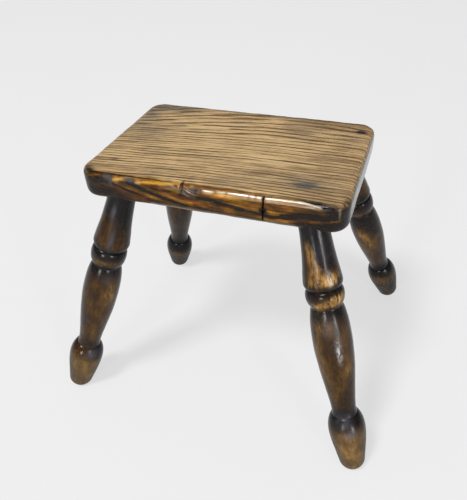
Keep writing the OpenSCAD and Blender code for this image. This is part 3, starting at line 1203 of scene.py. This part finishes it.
def seat_finish():
    wood = Finish("worn_waxed_plank")
    plank = plank_grain(wood)
    on_top = worn_top_share(wood, plank)
    edge_colour = tear_and_reflect_floor(wood, plank, waxed_edge_colour(wood, plank))
    colour = wood.blend(on_top, edge_colour, worn_top_colour(wood, plank))
    for lay_over in (rub_and_highlight_arris, line_rim, wear_and_stain):
        colour = lay_over(wood, plank, colour)

    end_face = wood.spread(plank.from_middle, 145.0, 149.0)
    roughness = wood.add(
        wood.times(on_top, 0.28),
        wood.times(plank.below, 0.45),
        wood.times(plank.fine, 0.08),
        wood.times(plank.pores, 0.15),
        wood.times(plank.torn, 0.15),
        wood.times(end_face, -0.04),
        0.09,
    )
    height = wood.add(
        wood.times(plank.pores, -0.9),
        wood.times(plank.line, -0.35),
        wood.times(plank.fine, 0.45),
        wood.times(plank.mottle, 0.8),
        wood.times(plank.soot, wood.noise(plank.where, 2.0, 3.0), -0.8),
        wood.times(plank.torn, plank.splinters, 3.0),
    )
    height = wood.times(height, wood.maths("MULTIPLY_ADD", end_face, -0.8, 1.0))
    return wood.finish(SEAT_WAX, colour, roughness, height, PLANK_GRAIN_DEPTH)


# Colours of the legs, from the polish in the grooves to the rubbed high places
# Black of the polish in the grooves, also used for painted shade
BLACK_POLISH_AND_SHADE = (0.0035, 0.0032, 0.0036)
DARK_OAK = (0.011, 0.0055, 0.003)
# Brown of the painted shade at the outline
GLANCING_SHADE_BROWN = (0.010, 0.0045, 0.0015)
WARM_OAK = (0.044, 0.0178, 0.0012)
LIGHT_OAK = (0.092, 0.043, 0.005)
KHAKI_DARK = (0.032, 0.018, 0.007)
KHAKI_OAK = (0.092, 0.050, 0.012)
KHAKI_LIGHT = (0.185, 0.110, 0.030)
# Lavender of the painted soft sheen on dull polish
LAVENDER_SHEEN = (0.074, 0.072, 0.088)
# Pale of the scuffs, which also stands for a painted highlight
SCUFF_HIGHLIGHT_PALE = (0.50, 0.48, 0.46)
GOLD_OAK = (0.25, 0.128, 0.033)
GOLD_BRIGHT = (0.66, 0.40, 0.125)
LEG_GRAIN_DEPTH = 0.22

# How dark the polish and dirt lie in the grooves and where the turning steps in, as (distance
# down from the underside, darkness), and the distance at the scale's end. Just below the
# underside the darkness is painted shade from the seat
GROOVE_DARKNESS_AND_SEAT_SHADE = [
    (0, 1.0), (13, 0.95), (24, 0.35), (56, 0.20), (61, 0.35), (65, 1.0), (79, 0.95), (86, 0.35),
    (91, 0.45), (95, 1.0), (103, 0.90), (116, 0.15), (196, 0.10), (214, 0.55), (221, 1.0),
    (236, 0.95), (249, 0.25), (300, 0.12),
]
SCALE_END = 310


def leg_grain(wood):
    """A point's distance down the leg, and the fibres, pores, clouds, dirt and chips there."""
    place = wood.mark_place("turning")
    whole = wood.node("TexCoord").outputs["Object"]
    whole = wood.stretched(whole, 1 / MM, 1 / MM, 1 / MM)

    # The four legs lie far apart, so a tenth of the whole place shifts each leg's grain
    apart = wood.stretched(whole, 0.1, 0.1, 0)
    shifted = wood.node("VectorMath", {0: place, 1: apart}, operation="ADD").outputs[0]
    return SimpleNamespace(
        drop=wood.times(wood.axes(place)[2], -1.0),
        fine=wood.noise(wood.stretched(shifted, 1, 1, 0.07), 0.9, 3.0, 0.6),
        streak=wood.noise(wood.stretched(shifted, 1, 1, 0.14), 4.5, 3.0, 0.6),
        mottle=wood.noise(wood.stretched(shifted, 1, 1, 0.5), 13.0, 4.0, 0.6),
        grime=wood.noise(wood.stretched(shifted, 1, 1, 0.7), 3.0, 4.0, 0.65),
        chips=wood.noise(wood.stretched(shifted, 1, 1, 0.4), 1.8, 2.0),
        pores=wood.spread(wood.noise(wood.stretched(shifted, 1, 1, 0.12), 0.8, 1.0), 0.61, 0.70),
    )


def groove_darkness_and_seat_shade(wood, leg):
    """How black the polish is, with painted shade just below the seat. The bands follow a bead or foot
    that lies off the pattern.
    """
    turned = wood.add(
        leg.drop,
        wood.times(wood.mark("bead_lower"), wood.spread(leg.drop, 110.0, 200.0, -1.0, 0.0)),
        wood.times(wood.mark("foot_lower"), wood.spread(leg.drop, 190.0, 215.0, 0.0, -1.0)),
    )
    wander = wood.add(wood.sway(leg.mottle, 28.0), wood.sway(leg.grime, 7.0))
    level = wood.times(wood.add(turned, wander), 1 / SCALE_END)
    return wood.ramp(level, *((drop / SCALE_END, amount) for drop, amount in GROOVE_DARKNESS_AND_SEAT_SHADE))


def oak_tone(wood, leg):
    """The wood's tone, from light at 0 to dark at 1."""
    return wood.add(
        wood.sway(leg.streak, 0.7),
        wood.sway(leg.mottle, 1.7),
        wood.sway(leg.fine, 0.25),
        wood.sway(leg.grime, 0.6),
        0.42,
    )


def polished_oak(wood, leg, tone):
    """Warm oak down to the neck and khaki at the foot, with dark pores."""
    vase_colour = wood.ramp(tone, (0.0, LIGHT_OAK), (0.38, WARM_OAK), (0.85, DARK_OAK))
    foot_colour = wood.ramp(tone, (0.0, KHAKI_LIGHT), (0.40, KHAKI_OAK), (0.90, KHAKI_DARK))
    colour = wood.blend(wood.spread(leg.drop, 232.0, 254.0), vase_colour, foot_colour)
    return wood.blend(wood.times(leg.pores, 0.4), colour, BLACK_POLISH_AND_SHADE)


def rub_and_darken(wood, leg, tone, colour):
    """Lays gold on the rubbed places, and black in the grooves, in the painted shade below the seat
    and where sooty dirt lies.
    """
    patches = wood.spread(wood.add(leg.streak, leg.grime), 0.82, 1.10, 0.15, 1.2)
    rubbed = wood.times(wood.mark("rubbed"), patches)
    gold = wood.ramp(tone, (0.05, GOLD_BRIGHT), (0.45, GOLD_OAK), (0.95, WARM_OAK))
    # Sooty dirt, and painted shade under the seat
    soot = wood.times(wood.mark("soot"), wood.spread(leg.grime, 0.35, 0.6, 0.3, 1.3))
    dark = wood.add(groove_darkness_and_seat_shade(wood, leg), soot)
    leg.dark = wood.maths("SUBTRACT", dark, wood.times(rubbed, 0.7), clamp=True)
    colour = wood.blend(wood.maths("MINIMUM", rubbed, 0.9), colour, gold)
    return wood.blend(wood.times(leg.dark, 0.96), colour, BLACK_POLISH_AND_SHADE)


def bloom_and_scuff(wood, leg, colour):
    """Lays the polish's dull patches with a painted soft lavender sheen, and its pale scuffs with a
    painted highlight, over the colour.
    """
    leg.bloom = wood.times(wood.mark("bloom"), wood.spread(leg.mottle, 0.30, 0.62, 0.2, 1.0))
    # Painted soft sheen
    colour = wood.blend(wood.times(leg.bloom, 0.8), colour, LAVENDER_SHEEN)
    scuff_highlight = wood.times(wood.mark("scuff_highlight"), wood.spread(leg.chips, 0.38, 0.58, 0.05, 1.0))
    # Pale scuffs with a painted highlight
    return wood.blend(wood.maths("MINIMUM", scuff_highlight, 0.9), colour, SCUFF_HIGHLIGHT_PALE)


def leg_finish():
    wood = Finish("polished_turned_wood")
    leg = leg_grain(wood)
    tone = oak_tone(wood, leg)
    colour = rub_and_darken(wood, leg, tone, polished_oak(wood, leg, tone))
    colour = bloom_and_scuff(wood, leg, colour)

    # Painted shade: the colour turns deep brown at the outline, where the polish is seen at a glance
    glancing = wood.node("LayerWeight", {"Blend": 0.5}).outputs["Facing"]
    colour = wood.blend(wood.spread(glancing, 0.45, 0.95, 0.0, 0.8), colour, GLANCING_SHADE_BROWN)
    roughness = wood.add(
        wood.spread(leg.drop, 240.0, 268.0, 0.09, 0.32),
        wood.times(leg.fine, 0.04),
        wood.times(leg.mottle, 0.08),
        wood.times(leg.bloom, 0.28),
        wood.times(leg.dark, 0.05),
    )
    height = wood.add(
        wood.times(leg.pores, -0.4),
        wood.times(leg.fine, 0.15),
        wood.times(leg.mottle, 0.9),
        wood.times(leg.grime, 0.15),
        wood.times(wood.mark("chipped"), wood.spread(leg.chips, 0.45, 0.60), -2.2),
    )
    return wood.finish(LEG_POLISH, colour, roughness, height, LEG_GRAIN_DEPTH)


# The floor, the light and the camera

def floor_paint():
    """Most of the floor looks an even white to the eye and in the polish; the rest takes shadow."""
    paint = Finish("pale_floor")
    paint.feed(paint.shader.inputs["Base Color"], (*FLOOR_WHITE, 1))
    paint.feed(paint.shader.inputs["Roughness"], 0.8)
    even = paint.node("Emission", {"Color": (*FLOOR_WHITE, 1)})
    rays = paint.node("LightPath").outputs
    seen = rays["Is Camera Ray"]
    for ray in ("Is Glossy Ray", "Is Transmission Ray"):
        seen = paint.maths("MAXIMUM", seen, rays[ray])
    share = paint.times(seen, EVEN_SHARE)
    both = paint.node("MixShader", {0: share, 1: paint.shader.outputs[0], 2: even.outputs[0]})
    paint.feed(paint.tree.nodes["Material Output"].inputs["Surface"], both.outputs[0])
    return paint.material


def lay_floor():
    deselect_all()
    bpy.ops.mesh.primitive_plane_add(size=FLOOR_SIZE, location=(0, 0, 0))
    floor = named_primitive("floor")
    floor.data.materials.append(floor_paint())


def hang_lamp(name, bearing, height, width, tallness, power):
    """Hangs one soft lamp so that it shines at the stool."""
    bearing, height = math.radians(bearing), math.radians(height)
    away = Vector((
        math.sin(bearing) * math.cos(height),
        -math.cos(bearing) * math.cos(height),
        math.sin(height),
    ))
    lamp = bpy.data.lights.new(name, "AREA")
    lamp.shape = "RECTANGLE"
    lamp.size = width
    lamp.size_y = tallness
    lamp.energy = power
    hung = bpy.data.objects.new(name, lamp)
    bpy.context.scene.collection.objects.link(hung)
    hung.location = away * LAMP_DISTANCE
    hung.rotation_euler = (-away).to_track_quat("-Z", "Y").to_euler()


def light_room():
    world = bpy.data.worlds.new("white_room")
    bpy.context.scene.world = world
    world.use_nodes = True
    sky = world.node_tree.nodes["Background"]
    sky.inputs["Color"].default_value = (1, 1, 1, 1)
    sky.inputs["Strength"].default_value = ROOM_LIGHT
    for name, setting in LAMPS.items():
        hang_lamp(name, *setting)


def place_camera():
    turn, tilt, roll = (math.radians(a) for a in (CAMERA_TURN, CAMERA_TILT, CAMERA_ROLL))
    ahead = Vector((
        -math.sin(turn) * math.cos(tilt),
        math.cos(turn) * math.cos(tilt),
        -math.sin(tilt),
    ))
    right = Vector((math.cos(turn), math.sin(turn), 0))
    above = right.cross(ahead)
    rolled_right = right * math.cos(roll) - above * math.sin(roll)
    rolled_above = right * math.sin(roll) + above * math.cos(roll)
    camera = bpy.data.objects.new("camera", bpy.data.cameras.new("camera"))
    bpy.context.scene.collection.objects.link(camera)
    turned = Matrix((rolled_right, rolled_above, -ahead)).transposed()
    camera.matrix_world = Matrix.Translation(Vector(CAMERA_PLACE) * MM) @ turned.to_4x4()
    camera.data.lens = FOCAL_LENGTH
    camera.data.shift_x = FRAMING_SHIFT
    camera.data.clip_start = NEAREST_SEEN * MM
    bpy.context.scene.camera = camera


# The stool is made and set out

plank_wood = seat_finish()
leg_wood = leg_finish()

seat = make_seat()
seat.data.materials.append(plank_wood)
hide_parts("seat")
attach(seat, "root")

for leg in LEG_WAYS:
    turning = make_leg(leg)
    turning.data.materials.append(leg_wood)
    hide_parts(leg + "_leg")
    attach(turning, "root")

lay_floor()
light_room()
place_camera()
bpy.context.scene.view_settings.view_transform = "Standard"
